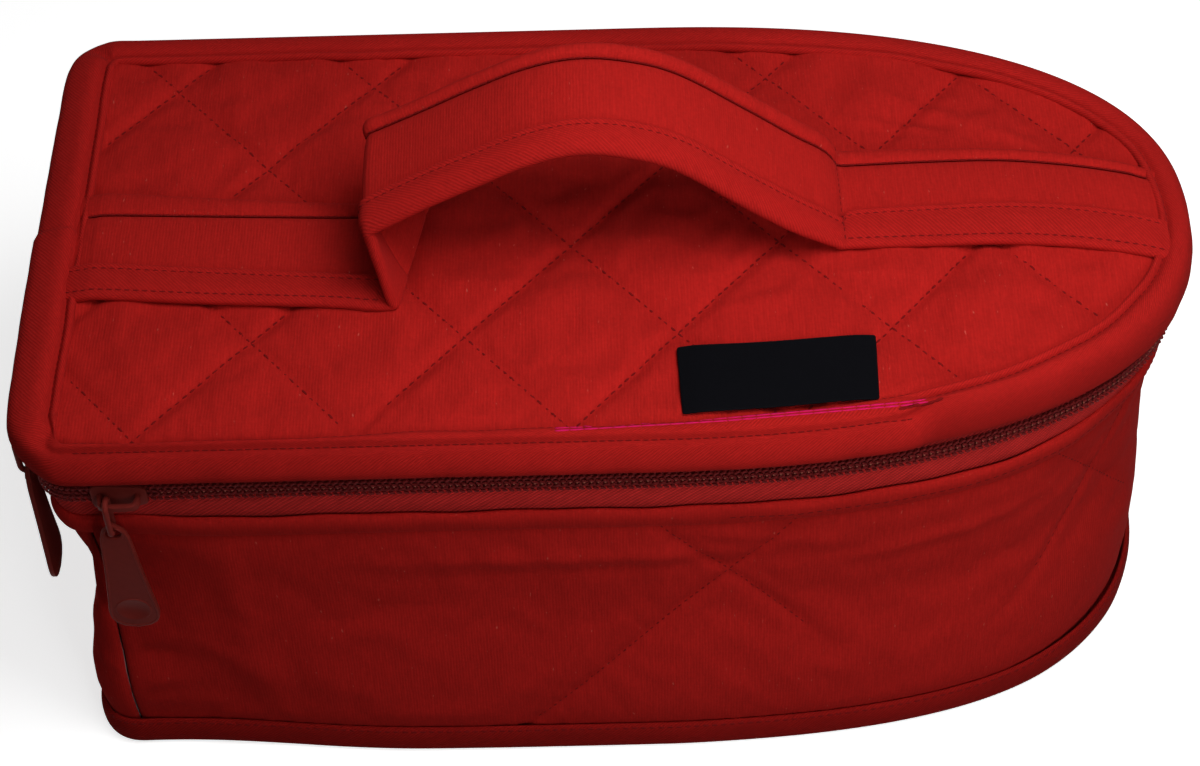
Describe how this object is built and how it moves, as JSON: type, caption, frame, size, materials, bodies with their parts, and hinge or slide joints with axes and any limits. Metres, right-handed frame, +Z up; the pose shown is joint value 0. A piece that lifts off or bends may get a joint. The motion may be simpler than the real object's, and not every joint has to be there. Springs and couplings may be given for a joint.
{
  "type": "iron storage case",
  "caption": "Iron-shaped padded cloth case with a boarded base, a quilted lid that folds back on its heel, a coil zip with two sliders and a strap handle.",
  "frame": {"origin": "on the floor under the middle of the case's plan, halfway along its length and across its width", "axes": "+X towards the rounded nose, +Y towards the far side, away from the near side that carries the slider and the label, +Z up"},
  "size_m": [0.346, 0.176, 0.2065],
  "materials": {
    "red_cotton": "matt ribbed cotton, quilted on the lid and the walls",
    "red_twill": "matt bias-cut twill binding with a stitched edge",
    "wadding": "polyester wadding, not seen",
    "lining": "grey heat-proof lining with a faint sheen",
    "base_board": "stiff board, not seen",
    "zip_tape": "knitted maroon tape",
    "zip_coil": "maroon nylon coil with pale stitch dots",
    "slider_paint": "satin dusty red-brown paint",
    "label_weave": "plain black satin weave, no lettering"
  },
  "bodies": {
    "case": {"base_outer": "red_cotton", "base_wadding": "wadding", "base_board": "base_board", "base_lining": "lining", "base_binding": "red_twill", "gusset_outer": "red_cotton", "gusset_wadding": "wadding", "gusset_lining": "lining", "heel_outer": "red_cotton", "heel_wadding": "wadding", "heel_lining": "lining", "gusset_hem": "red_cotton", "heel_hinge": "red_cotton", "zip_tape_lower": "zip_tape", "zip_coil_lower": "zip_coil", "zip_end_near": "zip_coil", "zip_end_far": "zip_coil"},
    "lid": {"lid_outer": "red_cotton", "lid_wadding": "wadding", "lid_lining": "lining", "lid_binding": "red_twill", "zip_tape_upper": "zip_tape", "zip_coil_upper": "zip_coil", "label": "label_weave", "handle_strap": "red_cotton", "strap_binding_near": "red_twill", "strap_binding_far": "red_twill"},
    "slider_near": {"near_slider": "slider_paint", "near_link": "slider_paint"},
    "pull_near": {"near_pull": "slider_paint"},
    "slider_heel": {"heel_slider": "slider_paint", "heel_link": "slider_paint"},
    "pull_heel": {"heel_pull": "slider_paint"}
  },
  "joints": [
    {"name": "lid_hinge", "type": "hinge", "parent": "case", "child": "lid", "pos_m": [-0.17, 0, 0.136], "axis": [0, -1, 0], "range_deg": [0, 110]},
    {"name": "near_slide", "type": "slide", "parent": "case", "child": "slider_near", "axis": [1, 0, 0], "range_m": [0, 0.14]},
    {"name": "near_swing", "type": "hinge", "parent": "slider_near", "child": "pull_near", "pos_m": [-0.1461, -0.0879, 0.1183], "axis": [0, -1, 0], "range_deg": [-15, 60]},
    {"name": "heel_slide", "type": "slide", "parent": "case", "child": "slider_heel", "axis": [0, 1, 0], "range_m": [0, 0.012]},
    {"name": "heel_swing", "type": "hinge", "parent": "slider_heel", "child": "pull_heel", "pos_m": [-0.1729, -0.0651, 0.1183], "axis": [1, 0, 0], "range_deg": [-15, 60]}
  ]
}
